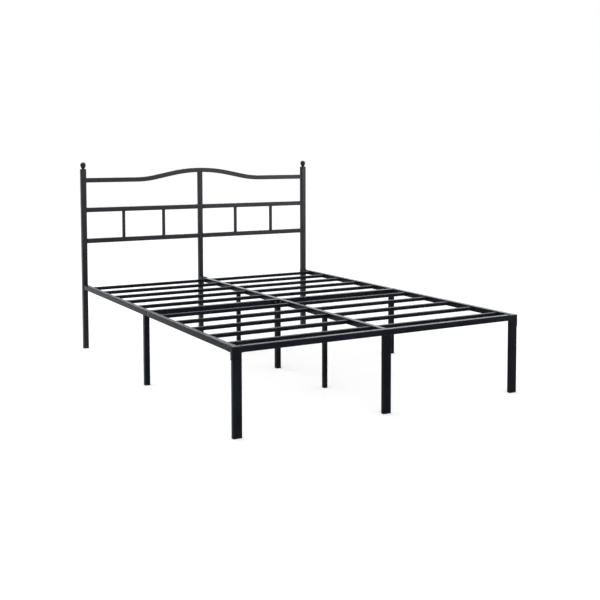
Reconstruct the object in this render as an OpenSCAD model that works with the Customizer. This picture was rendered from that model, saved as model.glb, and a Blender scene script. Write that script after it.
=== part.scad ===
// Double-size metal bed frame: arched headboard, side rails in two halves, tube slats.
// The origin is on the floor, under the middle of the frame. +X points to the right seen from
// the foot, +Y from the foot to the headboard, +Z up. All sizes are in millimetres.

/* [Overall] */
// Width over the outer faces of the side rails
frame_w = 1420; // [1200:5:1600]
// Length from the foot legs' front faces to the head posts' back faces
frame_l = 1947.5; // [1850:0.5:2100]
// Height of the rail tops above the floor
platform_h = 356; // [280:1:450]

/* [Frame tubes] */
// Side of the square tube of the rails, the middle beam and the middle legs
rail_size = 25; // [24:0.5:28]
// Wall thickness of the frame tubes
tube_wall = 1.2; // [1:0.1:1.6]
// Outer edge radius of the frame tubes
tube_edge_r = 2.5; // [2:0.1:3]
// Distance from the foot face to the middle beam's centre line
middle_beam_dist = 943; // [900:1:980]
// Width of the open joint between the two halves of a side rail
rail_joint_gap = 22.5; // [15:0.5:30]
// Length of the splice tube inside a side rail
splice_l = 120; // [90:1:160]
// Wall thickness of the splice tube
splice_wall = 1.5; // [1.2:0.1:2]
// Clearance on each side between the splice tube and the rail's bore
splice_fit = 0.3; // [0.1:0.05:0.5]

/* [Legs] */
// Width of the foot legs, across the bed
foot_leg_w = 38; // [30:0.5:45]
// Depth of the foot legs, along the bed
foot_leg_d = 20; // [18:0.5:24]
// Side of the two support legs under the centre rail
support_leg_size = 20; // [18:0.5:24]
// Distance from the foot face to the support leg of the foot half
support_foot_dist = 507; // [480:1:540]
// Distance from the foot face to the support leg of the head half
support_head_dist = 1420; // [1395:1:1440]
// Thickness of the plastic glides' pads and of the leg caps
glide_t = 4; // [3:0.5:6]
// Length of the plastic plugs' stems
plug_l = 18; // [14:1:24]
// Clearance on each side between a plastic stem and its tube
plug_fit = 0.2; // [0.1:0.05:0.3]
// Wall thickness of the plastic stems
plug_wall = 2; // [1.5:0.1:2.5]

/* [Slats] */
// Number of slat rows in each half of the bed
rows_per_half = 5; // [3:1:7]
// Width of a slat, along the bed
slat_w = 20; // [18:0.5:24]
// Height of a slat
slat_h = 16; // [12:0.5:18]
// Wall thickness of a slat
slat_wall = 1; // [0.8:0.1:1.4]
// Outer edge radius of a slat
slat_edge_r = 2; // [1.6:0.1:2.4]
// How far the slat tops lie below the rail tops
slat_drop = 4; // [4:0.5:6]
// Distance from each end of the frame to the nearest slat's centre line
end_row_gap = 111; // [100:1:120]
// Distance from the middle beam's centre line to the nearest slat of the foot half
foot_row_gap = 119; // [95:1:130]
// Distance from the middle beam's centre line to the nearest slat of the head half
head_row_gap = 181.5; // [150:0.5:200]
// Thickness of the collar between a slat's end and the rail
slat_collar_t = 3; // [2:0.5:5]
// Diameter of the peg that seats a slat in the rail's wall
peg_d = 8; // [6:0.5:9]
// Clearance on each side of the peg in its hole
peg_fit = 0.2; // [0.1:0.05:0.3]

/* [Headboard] */
// Side of the square corner posts
post_size = 28; // [25:0.5:30]
// Height of the corner posts' tube ends above the floor
post_h = 994; // [950:1:1050]
// Side of the square centre post
centre_post_size = 25; // [22:0.5:28]
// Height of the headboard rails' tube section
head_rail_h = 25; // [22:0.5:28]
// Depth of the headboard rails' tube section
head_rail_d = 25; // [20:0.5:28]
// Height of the top rail's centre line at the posts
top_rail_z = 937; // [900:1:945]
// Height of the middle rail's centre line
middle_rail_z = 772; // [720:1:800]
// Height of the lower rail's centre line
lower_rail_z = 600; // [560:1:640]
// Rise of the arch in the middle of the top rail
arch_rise = 50; // [44:1:60]
// Slope of the arch's straight flanks, in degrees
arch_angle = 11.5; // [10:0.5:12.5]
// Bend radius of the tube's centre line at the crown
crown_r = 880; // [800:10:960]
// Bend radius of the tube's centre line where the arch meets the flat ends
sweep_r = 560; // [500:10:620]
// Side of the square spindles
spindle_size = 15; // [12:0.5:19]
// Number of spindles on each side of the centre post
spindles_per_side = 2; // [1:1:4]
// Distance between neighbouring spindles, as a share of an even spacing
spindle_spread = 1.03; // [0.96:0.01:1.06]

/* [Finials] */
// Diameter of the finial ball
ball_d = 30; // [28:0.5:34]
// Height from the post's tube end to the top of the ball
finial_h = 43; // [41:0.5:50]
// Diameter of the finial's neck
neck_d = 14; // [10:0.5:16]
// Thickness of the square shoulder that closes the post
shoulder_t = 3.5; // [3:0.5:5]

/* [Joints] */
// Thickness of the steel joining plates and brackets
plate_t = 2.5; // [2:0.5:3]
// Length of each arm of the angle brackets
bracket_arm = 32; // [28:1:40]
// Length of the saddle bracket over the centre rail's head end
saddle_l = 50; // [40:1:60]
// Height of the saddle bracket's back plate, from the top of the saddle down
saddle_plate_h = 62; // [60:1:70]
// Drop of the corner plates below the rails' undersides
corner_plate_drop = 30; // [25:1:45]
// Diameter of the bolts' shanks
bolt_d = 6; // [5:0.5:7]
// Diameter of the bolt heads
bolt_head_d = 11; // [10:0.5:13]
// Height of the bolt heads
bolt_head_h = 3.3; // [2.5:0.1:4]
// Diameter of the hexagon sockets in the bolt heads, across corners
bolt_socket_d = 4.6; // [4:0.2:5]
// Clearance on each side of a bolt in its hole
bolt_fit = 0.3; // [0.2:0.05:0.5]
// Length of the bolts' shanks below the head
bolt_l = 10; // [8:0.5:11]

/* [Hidden] */
$fn = 64;
BEND_FN = 360; // facets of a full turn on the long bends and copes
THROUGH = 1; // how far a cutting tool runs past the face that it cuts
MIN_EDGE_R = 0.3; // smallest inner edge radius of a tube
// Radii of the turned heads' domes, as shares of the head's width
BOLT_DOME = 0.52;
SCREW_DOME = 0.7;
SHOULDER_DOME = 0.78;

// Overall frame
ball_overhang = max(0, (ball_d - post_size) / 2);
foot_y = -(frame_l + ball_overhang) / 2;
head_y = foot_y + frame_l;
side_x = frame_w / 2;
sides = [-1, 1];

// Deck heights
rail_z = platform_h - rail_size / 2;
rail_bottom = platform_h - rail_size;
slat_z = platform_h - slat_drop - slat_h / 2;

// Planes across the bed
rail_x = side_x - rail_size / 2;
rail_inner_x = side_x - rail_size;
post_x = rail_inner_x + post_size / 2;
foot_leg_x = side_x - foot_leg_w / 2;
foot_leg_inner_x = side_x - foot_leg_w;

// Planes along the bed
foot_rail_y = foot_y + rail_size / 2;
foot_rail_back = foot_y + rail_size;
foot_leg_y = foot_y + foot_leg_d / 2;
foot_leg_back = foot_y + foot_leg_d;
beam_y = foot_y + middle_beam_dist;
beam_front = beam_y - rail_size / 2;
beam_back = beam_y + rail_size / 2;
middle_leg_y = beam_back + rail_size / 2;
post_y = head_y - post_size / 2;
post_front = head_y - post_size;
centre_post_front = post_y - centre_post_size / 2;
saddle_plate_front = centre_post_front - plate_t;
side_split_y = beam_front - rail_joint_gap;
splice_y = beam_front - rail_joint_gap / 2;

// Slat rows, spread evenly between the gaps at both ends of each half
function spread(first, last, count) = [for (i = [0:count - 1]) first + (last - first) * i / (count - 1)];
rows_foot = spread(foot_y + end_row_gap, beam_y - foot_row_gap, rows_per_half);
rows_head = spread(beam_y + head_row_gap, head_y - end_row_gap, rows_per_half);
rows = concat(rows_foot, rows_head);
slat_inner_x = rail_size / 2 + slat_collar_t;
slat_outer_x = rail_inner_x - slat_collar_t;
peg_reach = 2.5; // how far a peg stands out past the rail's wall
peg_l = tube_wall + peg_reach;
slat_screw_inset = 10;
slat_screw_d = 3.5;
slat_screw_head_d = 7;
slat_screw_head_h = 1.8;
slat_screw_dome_r = slat_screw_head_d * SCREW_DOME;
slat_screw_l = 9;
screw_fit = 0.15;

// Headboard
head_rail_span = post_x - post_size / 2;
half_rail_l = head_rail_span - centre_post_size / 2;
spindle_bottom = lower_rail_z + head_rail_h / 2;
spindle_top = middle_rail_z - head_rail_h / 2;
spindle_pitch = spindle_spread * post_x / (spindles_per_side + 1);
first_spindle_x = (post_x - (spindles_per_side - 1) * spindle_pitch) / 2;
flank_l = (arch_rise - (crown_r + sweep_r) * (1 - cos(arch_angle))) / sin(arch_angle);
arch_half_w = (crown_r + sweep_r) * sin(arch_angle) + flank_l * cos(arch_angle);
crown_z = top_rail_z + arch_rise - crown_r;
bend_swell = 0.02;
bend_lap = 1;

// Joint hardware
plate_margin = 1.5; // of rail or post left bare beside a joining plate
plate_h = rail_size - 2 * plate_margin;
bracket_bolt_share = 0.62; // of an arm's length, from the corner to its bolt
bracket_bolt_dist = bracket_arm * bracket_bolt_share;
strap_rail_l = 52;
strap_bolt_inset = 13;
strap_post_l = post_size - 2 * plate_margin;
saddle_h = rail_size + plate_t;
saddle_plate_z = rail_bottom + saddle_h - saddle_plate_h;
saddle_bolt_inset = 8.5;
plate_corner_r = 3;
bolt_hole_d = bolt_d + 2 * bolt_fit;
bolt_dome_r = bolt_head_d * BOLT_DOME;
bolt_socket_depth = 1.8;
splice_bolt_inset = 26;

// Bolts: [position of the seat under the head, direction in which the shank points]
corner_bolts = [for (s = sides, p = [[foot_leg_y, rail_bottom - corner_plate_drop / 2],
                                     [foot_leg_back + bracket_bolt_dist, rail_z]])
    [[s * (side_x + plate_t), p[0], p[1]], [-s, 0, 0]]];
strap_bolts_y = [post_front - strap_rail_l + strap_bolt_inset, post_front - strap_bolt_inset, post_y];
strap_bolts = [for (s = sides, y = strap_bolts_y) [[s * (rail_inner_x - plate_t), y, rail_z], [s, 0, 0]]];
splice_bolts = [for (s = sides)
    [[s * rail_inner_x, side_split_y - splice_bolt_inset, rail_z], [s, 0, 0]]];
saddle_bolts = concat(
    [for (s = sides) [[s * (rail_size / 2 + plate_t), centre_post_front - saddle_l / 2, rail_z], [-s, 0, 0]]],
    [for (z = [saddle_plate_z + saddle_bolt_inset, rail_bottom - saddle_bolt_inset])
        [[0, saddle_plate_front, z], [0, 1, 0]]]);

// Angle brackets: [corner x, corner y, direction of the arm along X, direction of the arm along Y]
side_brackets = [for (s = sides, y = [beam_back, foot_rail_back]) [s * rail_inner_x, y, -s, 1]];
centre_brackets = [for (s = sides, y = [[beam_back, 1], [beam_front, -1], [foot_rail_back, 1]])
    [s * rail_size / 2, y[0], s, y[1]]];
brackets = concat(side_brackets, centre_brackets);
bracket_bolts = [for (b = brackets, arm = [0, 1]) arm == 0
    ? [[b[0] + b[2] * plate_t, b[1] + b[3] * bracket_bolt_dist, rail_z], [-b[2], 0, 0]]
    : [[b[0] + b[2] * bracket_bolt_dist, b[1] + b[3] * plate_t, rail_z], [0, -b[3], 0]]];
bolts = concat(corner_bolts, strap_bolts, splice_bolts, saddle_bolts, bracket_bolts);

// Colours
STEEL_BLACK = [0.13, 0.14, 0.16];
PLASTIC_BLACK = [0.06, 0.06, 0.065];
ZINC_BLACK = [0.2, 0.2, 0.21];

SIDE_NAMES = ["left", "right"];

// ---- Shared shapes ----

// Rectangle with rounded corners, centred
module rounded_rectangle(w, h, r) {
    square([w - 2 * r, h], center = true);
    square([w, h - 2 * r], center = true);
    for (sx = sides, sy = sides)
        translate([sx * (w / 2 - r), sy * (h / 2 - r)]) circle(r);
}

// Section of a rectangular tube
module tube_section(w, h, wall = tube_wall, r = tube_edge_r) {
    difference() {
        rounded_rectangle(w, h, r);
        rounded_rectangle(w - 2 * wall, h - 2 * wall, max(r - wall, MIN_EDGE_R));
    }
}

// Tube that stands on z0
module tube_up(x, y, z0, z1, w, d, wall = tube_wall, r = tube_edge_r) {
    translate([x, y, z0]) linear_extrude(z1 - z0) tube_section(w, d, wall, r);
}

// Tube along X; its height is h and its depth along Y is d
module tube_across(x0, x1, y, z, d, h, wall = tube_wall, r = tube_edge_r) {
    translate([x0, y, z]) rotate([90, 0, 90]) linear_extrude(x1 - x0) tube_section(d, h, wall, r);
}

// Tube along Y; its height is h and its width along X is w
module tube_along(x, y0, y1, z, w, h, wall = tube_wall, r = tube_edge_r) {
    translate([x, y1, z]) rotate([90, 0, 0]) linear_extrude(y1 - y0) tube_section(w, h, wall, r);
}

// Points +Z along a direction that lies on a horizontal axis
module point_along(dir) {
    rotate([0, 90, dir[1] * 90 + (dir[0] < 0 ? 180 : 0)]) children();
}

// Holes through one wall for every bolt
module bolt_holes() {
    for (b = bolts)
        translate(b[0]) point_along(b[1]) cylinder(d = bolt_hole_d, h = bolt_l + THROUGH);
}

// Holes for the slats' pegs in the rails, on the given side of a rail's centre line
module peg_holes(x, dir, row_list) {
    for (y = row_list)
        translate([x, y, slat_z]) point_along([dir, 0, 0])
            translate([0, 0, -THROUGH]) cylinder(d = peg_d + 2 * peg_fit, h = tube_wall + 2 * THROUGH);
}

// Hollow stem of a plastic plug for a tube of w by d; it hangs down from z = 0
module plug_stem(w, d, wall = tube_wall, l = plug_l) {
    bore_w = w - 2 * (wall + plug_fit);
    bore_d = d - 2 * (wall + plug_fit);
    translate([0, 0, -l]) difference() {
        linear_extrude(l) rounded_rectangle(bore_w, bore_d, tube_edge_r - tube_wall);
        translate([0, 0, -THROUGH]) linear_extrude(l)
            square([bore_w - 2 * plug_wall, bore_d - 2 * plug_wall], center = true);
    }
}

// ---- Headboard ----

module corner_post(s) {
    color(STEEL_BLACK) difference() {
        tube_up(s * post_x, post_y, glide_t, post_h, post_size, post_size);
        bolt_holes();
    }
}

// The post's top end is coped to the curve of the arch's underside
module headboard_centre_post() {
    color(STEEL_BLACK) difference() {
        intersection() {
            tube_up(0, post_y, glide_t, crown_z + crown_r, centre_post_size, centre_post_size);
            translate([0, post_y, crown_z]) rotate([90, 0, 0])
                cylinder(r = crown_r - head_rail_h / 2, h = 2 * centre_post_size, center = true,
                         $fn = BEND_FN);
        }
        bolt_holes();
    }
}

// Bent piece of the top rail's tube: the arc from angle a0 to a1 about a centre in the XZ plane
module tube_bend(x, z, r, a0, a1) {
    translate([x, post_y, z]) rotate([90, 0, 0])
        rotate_extrude(angle = a1 - a0, start = a0, $fn = BEND_FN)
            translate([r, 0]) tube_section(head_rail_h, head_rail_d);
}

// Straight piece of the top rail's tube. A bend swells the tube, so the straight pieces are a hair
// smaller, and each runs a little way into the bends at its ends.
module tube_straight(x0, x1, y, z) {
    tube_across(x0, x1, y, z, head_rail_d - 2 * bend_swell, head_rail_h - 2 * bend_swell,
                tube_wall - 2 * bend_swell, tube_edge_r - bend_swell);
}

// Outer part of the top rail on the +X side: straight flank, sweep and flat end
module top_rail_side() {
    flank_x = crown_r * sin(arch_angle);
    flank_z = crown_z + crown_r * cos(arch_angle);
    translate([flank_x, post_y, flank_z]) rotate([0, arch_angle, 0])
        tube_straight(-bend_lap, flank_l + bend_lap, 0, 0);
    tube_bend(arch_half_w, top_rail_z + sweep_r, sweep_r, 270 - arch_angle, 270);
    tube_straight(arch_half_w - bend_lap, head_rail_span, post_y, top_rail_z);
}

// The whole rail is one bent tube: flat end, sweep, flank, crown, flank, sweep, flat end
module headboard_top_rail() {
    color(STEEL_BLACK) union() {
        tube_bend(0, crown_z, crown_r, 90 - arch_angle, 90 + arch_angle);
        top_rail_side();
        mirror([1, 0, 0]) top_rail_side();
    }
}

module headboard_half_rail(s, z) {
    x0 = s > 0 ? centre_post_size / 2 : -head_rail_span;
    color(STEEL_BLACK) tube_across(x0, x0 + half_rail_l, post_y, z, head_rail_d, head_rail_h);
}

module headboard_spindles(s) {
    color(STEEL_BLACK) for (i = [0:spindles_per_side - 1])
        tube_up(s * (first_spindle_x + i * spindle_pitch), post_y, spindle_bottom, spindle_top,
                spindle_size, spindle_size, slat_wall, slat_edge_r);
}

// Turned finial: square shoulder, waisted neck and a ball that is drawn down to the neck
module finial(s) {
    ball_r = ball_d / 2;
    ball_z = finial_h - ball_r;
    // The cone touches the ball along the circle where the ball's surface has the cone's slope
    cone_r = ball_r * cos(45);
    cone_h = cone_r - neck_d / 2;
    dome_h = 3 * shoulder_t;
    dome_r = post_size * SHOULDER_DOME;
    color(PLASTIC_BLACK) translate([s * post_x, post_y, post_h]) {
        intersection() {
            linear_extrude(dome_h) rounded_rectangle(post_size, post_size, tube_edge_r);
            translate([0, 0, dome_h - dome_r]) sphere(dome_r);
        }
        cylinder(d = neck_d, h = ball_z);
        translate([0, 0, ball_z - cone_r - cone_h]) cylinder(r1 = neck_d / 2, r2 = cone_r, h = cone_h);
        translate([0, 0, ball_z]) sphere(ball_r);
        plug_stem(post_size, post_size);
    }
}

// ---- Deck frame ----

module side_rail_head(s) {
    color(STEEL_BLACK) difference() {
        tube_along(s * rail_x, beam_front, post_front, rail_z, rail_size, rail_size);
        peg_holes(s * rail_inner_x, s, rows_head);
        bolt_holes();
    }
}

module side_rail_foot(s) {
    color(STEEL_BLACK) difference() {
        tube_along(s * rail_x, foot_leg_back, side_split_y, rail_z, rail_size, rail_size);
        peg_holes(s * rail_inner_x, s, rows_foot);
        bolt_holes();
    }
}

module centre_rail(y0, y1, row_list) {
    color(STEEL_BLACK) difference() {
        tube_along(0, y0, y1, rail_z, rail_size, rail_size);
        for (s = sides) peg_holes(s * rail_size / 2, -s, row_list);
        bolt_holes();
    }
}

module middle_beam() {
    color(STEEL_BLACK) difference() {
        tube_across(-rail_inner_x, rail_inner_x, beam_y, rail_z, rail_size, rail_size);
        bolt_holes();
    }
}

module foot_rail() {
    color(STEEL_BLACK) difference() {
        tube_across(-foot_leg_inner_x, foot_leg_inner_x, foot_rail_y, rail_z, rail_size, rail_size);
        bolt_holes();
    }
}

module rail_splice(s) {
    size = rail_size - 2 * (tube_wall + splice_fit);
    color(ZINC_BLACK) difference() {
        tube_along(s * rail_x, splice_y - splice_l / 2, splice_y + splice_l / 2, rail_z,
                   size, size, splice_wall, slat_edge_r);
        bolt_holes();
    }
}

// ---- Legs ----

module middle_leg(x) {
    color(STEEL_BLACK)
        tube_up(x, middle_leg_y, glide_t, rail_bottom, rail_size, rail_size);
}

module support_leg(dist) {
    color(STEEL_BLACK)
        tube_up(0, foot_y + dist, glide_t, rail_bottom, support_leg_size, support_leg_size);
}

module foot_leg(x, top) {
    color(STEEL_BLACK) difference() {
        tube_up(x, foot_leg_y, glide_t, top, foot_leg_w, foot_leg_d);
        bolt_holes();
    }
}

// ---- Joint hardware ----

// Plate on the outer faces of a foot corner: it ties the leg to the side rail
module corner_plate(s) {
    plate_z0 = rail_bottom - corner_plate_drop;
    color(STEEL_BLACK) difference() {
        translate([s > 0 ? side_x : -side_x - plate_t, 0, 0]) rotate([90, 0, 90]) linear_extrude(plate_t) {
            translate([foot_leg_y, (plate_z0 + platform_h) / 2])
                rounded_rectangle(foot_leg_d - 2 * plate_margin, platform_h - plate_z0 - 2 * plate_margin,
                                  plate_margin);
            translate([foot_y + (foot_leg_d + bracket_arm) / 2, rail_z])
                rounded_rectangle(foot_leg_d + bracket_arm - 2 * plate_margin, plate_h, plate_margin);
        }
        bolt_holes();
    }
}

module angle_brackets() {
    color(STEEL_BLACK) difference() {
        for (b = brackets)
            translate([b[0], b[1], rail_z - plate_h / 2]) {
                x0 = b[2] > 0 ? 0 : -1;
                y0 = b[3] > 0 ? 0 : -1;
                translate([x0 * plate_t, y0 * bracket_arm, 0]) cube([plate_t, bracket_arm, plate_h]);
                translate([x0 * bracket_arm, y0 * plate_t, 0]) cube([bracket_arm, plate_t, plate_h]);
            }
        bolt_holes();
    }
}

module head_joint_straps() {
    color(STEEL_BLACK) difference() {
        for (s = sides)
            translate([s > 0 ? rail_inner_x - plate_t : -rail_inner_x, 0, 0]) rotate([90, 0, 90])
                linear_extrude(plate_t)
                    translate([post_front + (strap_post_l - strap_rail_l) / 2, rail_z])
                        rounded_rectangle(strap_rail_l + strap_post_l, plate_h, plate_corner_r);
        bolt_holes();
    }
}

// Channel over the centre rail's head end, welded to a plate that is bolted to the centre post
module saddle_bracket() {
    color(STEEL_BLACK) difference() {
        union() {
            translate([0, centre_post_front, saddle_plate_z + saddle_plate_h / 2]) rotate([90, 0, 0])
                linear_extrude(plate_t)
                    rounded_rectangle(rail_size + 2 * plate_t, saddle_plate_h, plate_corner_r);
            translate([-rail_size / 2 - plate_t, centre_post_front - saddle_l, rail_bottom])
                cube([rail_size + 2 * plate_t, saddle_l, saddle_h]);
        }
        translate([-rail_size / 2, saddle_plate_front - saddle_l, rail_bottom - THROUGH])
            cube([rail_size, saddle_l, rail_size + THROUGH]);
        bolt_holes();
    }
}

// Button-head bolt with a hexagon socket
module bolt() {
    cylinder(d = bolt_d, h = bolt_l);
    difference() {
        intersection() {
            translate([0, 0, -bolt_head_h]) cylinder(d = bolt_head_d, h = bolt_head_h);
            translate([0, 0, bolt_dome_r - bolt_head_h]) sphere(bolt_dome_r);
        }
        translate([0, 0, -bolt_head_h - THROUGH])
            cylinder(d = bolt_socket_d, h = bolt_socket_depth + THROUGH, $fn = 6);
    }
}

module frame_bolts() {
    color(ZINC_BLACK) for (b = bolts)
        translate(b[0]) point_along(b[1]) bolt();
}

// ---- Plastic parts ----

module glide(x, y, w, d) {
    translate([x, y, 0]) {
        linear_extrude(glide_t) rounded_rectangle(w, d, tube_edge_r);
        translate([0, 0, glide_t]) mirror([0, 0, 1]) plug_stem(w, d);
    }
}

module foot_glides() {
    color(PLASTIC_BLACK) {
        for (s = sides) {
            glide(s * post_x, post_y, post_size, post_size);
            glide(s * foot_leg_x, foot_leg_y, foot_leg_w, foot_leg_d);
        }
        for (x = [-rail_x, 0, rail_x]) glide(x, middle_leg_y, rail_size, rail_size);
        for (dist = [support_foot_dist, support_head_dist])
            glide(0, foot_y + dist, support_leg_size, support_leg_size);
        glide(0, foot_leg_y, foot_leg_w, foot_leg_d);
        glide(0, post_y, centre_post_size, centre_post_size);
    }
}

module leg_caps() {
    color(PLASTIC_BLACK) for (s = sides)
        translate([s * foot_leg_x, foot_leg_y, platform_h - glide_t]) {
            linear_extrude(glide_t) rounded_rectangle(foot_leg_w, foot_leg_d, tube_edge_r);
            plug_stem(foot_leg_w, foot_leg_d);
        }
}

// Plug that closes a slat's end and seats it in the rail; +X points into the rail
module slat_plug(screwed) {
    stem_w = slat_w - 2 * (slat_wall + plug_fit);
    stem_h = slat_h - 2 * (slat_wall + plug_fit);
    difference() {
        union() {
            rotate([90, 0, 90]) translate([0, 0, -slat_collar_t]) linear_extrude(slat_collar_t)
                rounded_rectangle(slat_w, slat_h, slat_edge_r);
            rotate([90, 0, 90]) translate([0, 0, -slat_collar_t - plug_l]) linear_extrude(plug_l)
                rounded_rectangle(stem_w, stem_h, slat_edge_r - slat_wall);
            rotate([0, 90, 0]) cylinder(d = peg_d, h = peg_l);
        }
        if (screwed)
            translate([-slat_collar_t - slat_screw_inset, 0, slat_h / 2 - slat_screw_l - THROUGH])
                cylinder(d = slat_screw_d + 2 * screw_fit, h = slat_screw_l + 2 * THROUGH);
    }
}

module slat_end_plugs() {
    color(PLASTIC_BLACK) for (y = rows, s = sides) {
        translate([s * rail_inner_x, y, slat_z]) mirror([s > 0 ? 0 : 1, 0, 0]) slat_plug(true);
        translate([s * rail_size / 2, y, slat_z]) mirror([s > 0 ? 1 : 0, 0, 0]) slat_plug(false);
    }
}

module slat_screws() {
    color(ZINC_BLACK) for (y = rows, s = sides)
        translate([s * (slat_outer_x - slat_screw_inset), y, slat_z + slat_h / 2]) {
            translate([0, 0, -slat_screw_l]) cylinder(d = slat_screw_d, h = slat_screw_l);
            intersection() {
                cylinder(d = slat_screw_head_d, h = slat_screw_head_h);
                translate([0, 0, slat_screw_head_h - slat_screw_dome_r]) sphere(slat_screw_dome_r);
            }
        }
}

// ---- Slats ----

module half_slat(s, y) {
    x0 = s > 0 ? slat_inner_x : -slat_outer_x;
    color(STEEL_BLACK) difference() {
        tube_across(x0, x0 + slat_outer_x - slat_inner_x, y, slat_z, slat_w, slat_h, slat_wall, slat_edge_r);
        translate([s * (slat_outer_x - slat_screw_inset), y, slat_z])
            cylinder(d = slat_screw_d + 2 * screw_fit, h = slat_h);
    }
}

// ---- Nodes ----

corner_post(-1);  // headboard_post_left
corner_post(1);  // headboard_post_right
headboard_centre_post();
headboard_top_rail();
headboard_half_rail(-1, middle_rail_z);  // headboard_middle_rail_left
headboard_half_rail(1, middle_rail_z);  // headboard_middle_rail_right
headboard_half_rail(-1, lower_rail_z);  // headboard_lower_rail_left
headboard_half_rail(1, lower_rail_z);  // headboard_lower_rail_right
headboard_spindles(-1);  // headboard_spindles_left
headboard_spindles(1);  // headboard_spindles_right
finial(-1);  // finial_left
finial(1);  // finial_right
side_rail_head(-1);  // side_rail_left_head
side_rail_foot(-1);  // side_rail_left_foot
side_rail_head(1);  // side_rail_right_head
side_rail_foot(1);  // side_rail_right_foot
centre_rail(beam_back, saddle_plate_front, rows_head);  // centre_rail_head
centre_rail(foot_rail_back, beam_front, rows_foot);  // centre_rail_foot
middle_beam();
foot_rail();
rail_splice(-1);  // rail_splice_left
rail_splice(1);  // rail_splice_right
middle_leg(-rail_x);  // middle_leg_left
middle_leg(0);  // middle_leg_centre
middle_leg(rail_x);  // middle_leg_right
support_leg(support_foot_dist);  // support_leg_foot
support_leg(support_head_dist);  // support_leg_head
foot_leg(-foot_leg_x, platform_h - glide_t);  // foot_leg_left
foot_leg(0, rail_bottom);  // foot_leg_centre
foot_leg(foot_leg_x, platform_h - glide_t);  // foot_leg_right
corner_plate(-1);  // corner_plate_left
corner_plate(1);  // corner_plate_right
angle_brackets();
head_joint_straps();
saddle_bracket();
frame_bolts();
foot_glides();
leg_caps();
slat_end_plugs();
slat_screws();
for (side = [0, 1], i = [1:len(rows)])
    half_slat(sides[side], rows[i - 1]);
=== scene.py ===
"""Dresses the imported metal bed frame: powder-coated tube, moulded plastic, black hardware, welds.

Everything is in metres, in the frame of the CAD model: +X to the right seen from the foot, +Y from
the foot to the headboard, +Z up, with the origin on the floor under the middle of the frame.
"""

import logging
import math
import random
from dataclasses import dataclass, field
from enum import Enum, IntEnum
from typing import Iterable, Protocol, Sequence, Union

import bmesh
import bpy
from mathutils import Matrix, Vector

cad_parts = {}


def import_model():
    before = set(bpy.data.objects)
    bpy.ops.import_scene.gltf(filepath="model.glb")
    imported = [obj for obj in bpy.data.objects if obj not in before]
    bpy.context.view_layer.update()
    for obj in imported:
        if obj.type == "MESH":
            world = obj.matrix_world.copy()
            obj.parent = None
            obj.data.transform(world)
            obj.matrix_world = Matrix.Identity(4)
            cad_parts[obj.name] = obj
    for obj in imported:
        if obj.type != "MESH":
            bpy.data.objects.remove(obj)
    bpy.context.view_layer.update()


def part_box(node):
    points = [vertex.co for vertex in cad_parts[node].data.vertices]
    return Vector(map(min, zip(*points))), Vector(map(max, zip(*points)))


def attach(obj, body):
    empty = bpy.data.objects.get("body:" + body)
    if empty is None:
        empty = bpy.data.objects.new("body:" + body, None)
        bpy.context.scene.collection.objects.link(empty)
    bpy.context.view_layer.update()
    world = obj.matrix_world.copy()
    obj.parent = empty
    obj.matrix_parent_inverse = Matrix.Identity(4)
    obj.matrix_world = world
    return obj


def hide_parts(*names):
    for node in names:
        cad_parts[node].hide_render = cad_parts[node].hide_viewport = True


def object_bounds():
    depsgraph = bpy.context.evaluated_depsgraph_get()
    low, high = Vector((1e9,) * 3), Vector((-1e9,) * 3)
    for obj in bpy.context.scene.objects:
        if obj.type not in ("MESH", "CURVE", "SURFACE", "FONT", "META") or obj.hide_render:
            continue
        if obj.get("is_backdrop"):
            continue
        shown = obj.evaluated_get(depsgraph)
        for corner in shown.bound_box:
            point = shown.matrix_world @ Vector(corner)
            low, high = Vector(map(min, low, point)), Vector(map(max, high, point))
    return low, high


LOG = logging.getLogger("bed_frame")
MM = 0.001
ROOT = "root"
SIDES = ("left", "right")

Triple = tuple[float, float, float]
Colour = Triple
Point = tuple[float, float]
Span = tuple[float, float]
Ring = list[Vector]

EVEN: Triple = (1.0, 1.0, 1.0)
WHITE: Colour = (1.0, 1.0, 1.0)
NOISE_MEAN = 0.5
WELD_SEED = 11


# ---------------------------------------------------------------------------------------------
# Shader maths
# ---------------------------------------------------------------------------------------------

Term = Union["Socket", float]


class Socket:
    """An output socket that can stand in an arithmetic expression.

    Each operator adds one Math node to the socket's own tree.
    """

    def __init__(self, graph: "Graph", socket: bpy.types.NodeSocket | None) -> None:
        """Wraps one output socket of a graph's tree, or none for a node without outputs."""
        self.graph = graph
        self.socket = socket

    def _math(self, operation: str, *values: Term) -> "Socket":
        """Adds a Math node.

        Args:
            operation: The Math node's operation.
            *values: The node's inputs, in order.

        Returns:
            The node's output.
        """
        return self.graph.node("ShaderNodeMath", {"operation": operation}, dict(enumerate(values)))

    def __add__(self, other: Term) -> "Socket":
        """Sum of the two values."""
        return self._math("ADD", self, other)

    __radd__ = __add__

    def __mul__(self, other: Term) -> "Socket":
        """Product of the two values."""
        return self._math("MULTIPLY", self, other)

    __rmul__ = __mul__

    def __sub__(self, other: Term) -> "Socket":
        """This value less the other."""
        return self._math("SUBTRACT", self, other)

    def __rsub__(self, other: Term) -> "Socket":
        """The other value less this one."""
        return self._math("SUBTRACT", other, self)

    def clamped(self) -> "Socket":
        """This value held between 0 and 1."""
        return self._math("MINIMUM", self._math("MAXIMUM", self, 0.0), 1.0)

    def ramp(self, low: float, high: float) -> "Socket":
        """Maps this value from low..high to a smooth 0..1.

        Args:
            low: The value that gives 0.
            high: The value that gives 1.

        Returns:
            The eased value.
        """
        settings = {"interpolation_type": "SMOOTHSTEP"}
        inputs = {"Value": self, "From Min": low, "From Max": high, "To Min": 0.0, "To Max": 1.0}
        return self.graph.node("ShaderNodeMapRange", settings, inputs)


Value = Union[Socket, float, Sequence[float]]


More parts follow.
